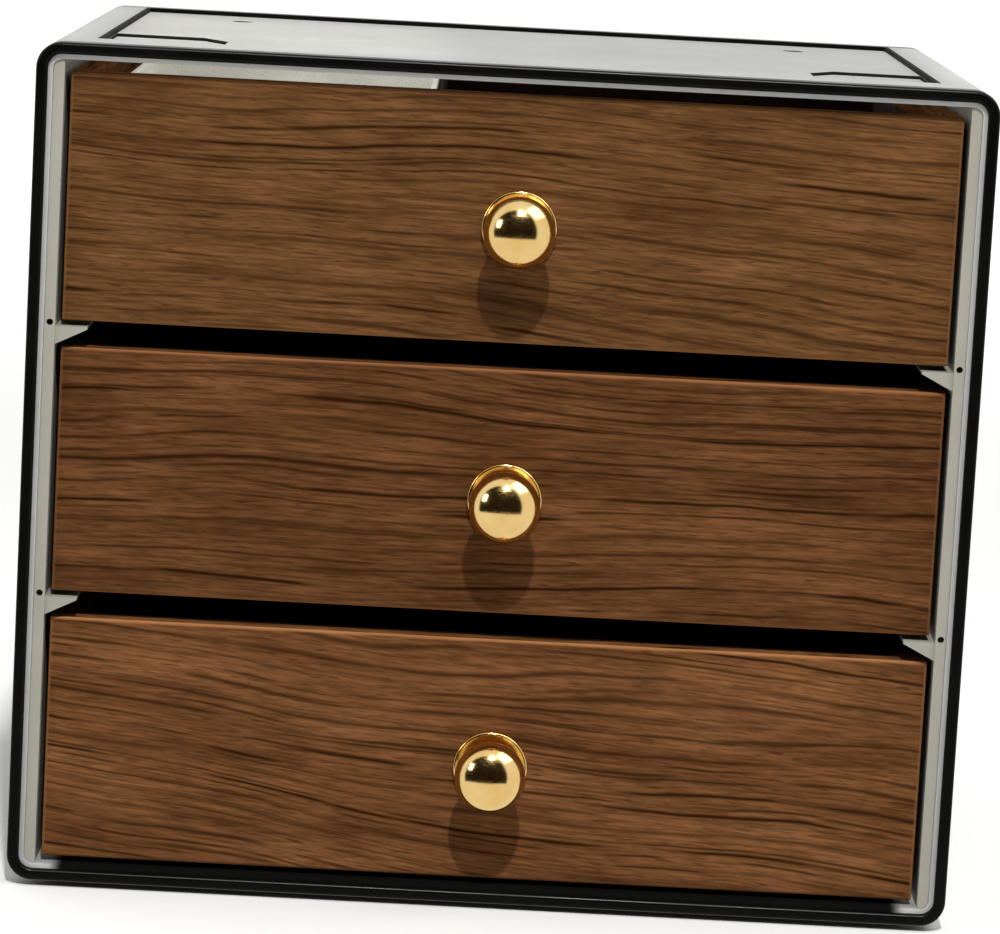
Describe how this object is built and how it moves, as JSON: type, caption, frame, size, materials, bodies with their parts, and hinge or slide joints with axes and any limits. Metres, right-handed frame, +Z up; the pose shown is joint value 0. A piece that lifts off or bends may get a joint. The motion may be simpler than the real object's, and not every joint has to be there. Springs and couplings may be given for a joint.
{
  "type": "jewellery box with drawers",
  "caption": "Desktop jewellery box: light grey case with black rims, and walnut drawers with gold ball knobs that slide out on side ledges and hold flocked trays.",
  "frame": {"origin": "middle of the bottom of the whole object, at the table, knobs and feet included", "axes": "+X to the right seen from the front, -Y out of the front towards the knobs, +Z up"},
  "size_m": [0.24, 0.2012, 0.2151],
  "materials": {
    "case_grey": "satin light grey moulded plastic, slightly translucent",
    "rim_black": "satin black moulded plastic",
    "rubber_black": "matt black rubber",
    "walnut": "walnut with a satin lacquer, grain along the width",
    "base_board": "thin walnut board",
    "gold": "polished gold plating",
    "steel": "zinc plated steel",
    "glide_white": "white slide strip",
    "flock_cream": "cream flocked velvet",
    "flock_dark": "dark brown flocked velvet"
  },
  "bodies": {
    "case": {"back_panel": "case_grey", "case_shell": "case_grey", "front_feet": "rubber_black", "front_rim": "rim_black", "left_panel_screws": "steel", "left_runner_panel": "case_grey", "rear_feet": "rubber_black", "rear_rim": "rim_black", "right_panel_screws": "steel", "right_runner_panel": "case_grey", "top_strip_left": "rubber_black", "top_strip_right": "rubber_black"},
    "bottom_drawer": {"bottom_drawer_back": "walnut", "bottom_drawer_base": "base_board", "bottom_drawer_front": "walnut", "bottom_drawer_glides": "glide_white", "bottom_drawer_knob": "gold", "bottom_drawer_knob_screw": "steel", "bottom_drawer_left_side": "walnut", "bottom_drawer_right_side": "walnut", "bottom_drawer_rosette": "gold", "bottom_drawer_tray": "flock_dark"},
    "middle_drawer": {"middle_drawer_back": "walnut", "middle_drawer_base": "base_board", "middle_drawer_front": "walnut", "middle_drawer_glides": "glide_white", "middle_drawer_knob": "gold", "middle_drawer_knob_screw": "steel", "middle_drawer_left_side": "walnut", "middle_drawer_right_side": "walnut", "middle_drawer_rosette": "gold", "middle_drawer_tray": "flock_dark"},
    "top_drawer": {"top_drawer_back": "walnut", "top_drawer_base": "base_board", "top_drawer_cream_tray": "flock_cream", "top_drawer_dark_tray": "flock_dark", "top_drawer_front": "walnut", "top_drawer_glides": "glide_white", "top_drawer_knob": "gold", "top_drawer_knob_screw": "steel", "top_drawer_left_side": "walnut", "top_drawer_right_side": "walnut", "top_drawer_rosette": "gold"}
  },
  "joints": [
    {"name": "top_drawer_slide", "type": "slide", "parent": "case", "child": "top_drawer", "axis": [0, -1, 0], "range_m": [0, 0.12]},
    {"name": "middle_drawer_slide", "type": "slide", "parent": "case", "child": "middle_drawer", "axis": [0, -1, 0], "range_m": [0, 0.12]},
    {"name": "bottom_drawer_slide", "type": "slide", "parent": "case", "child": "bottom_drawer", "axis": [0, -1, 0], "range_m": [0, 0.12]}
  ]
}
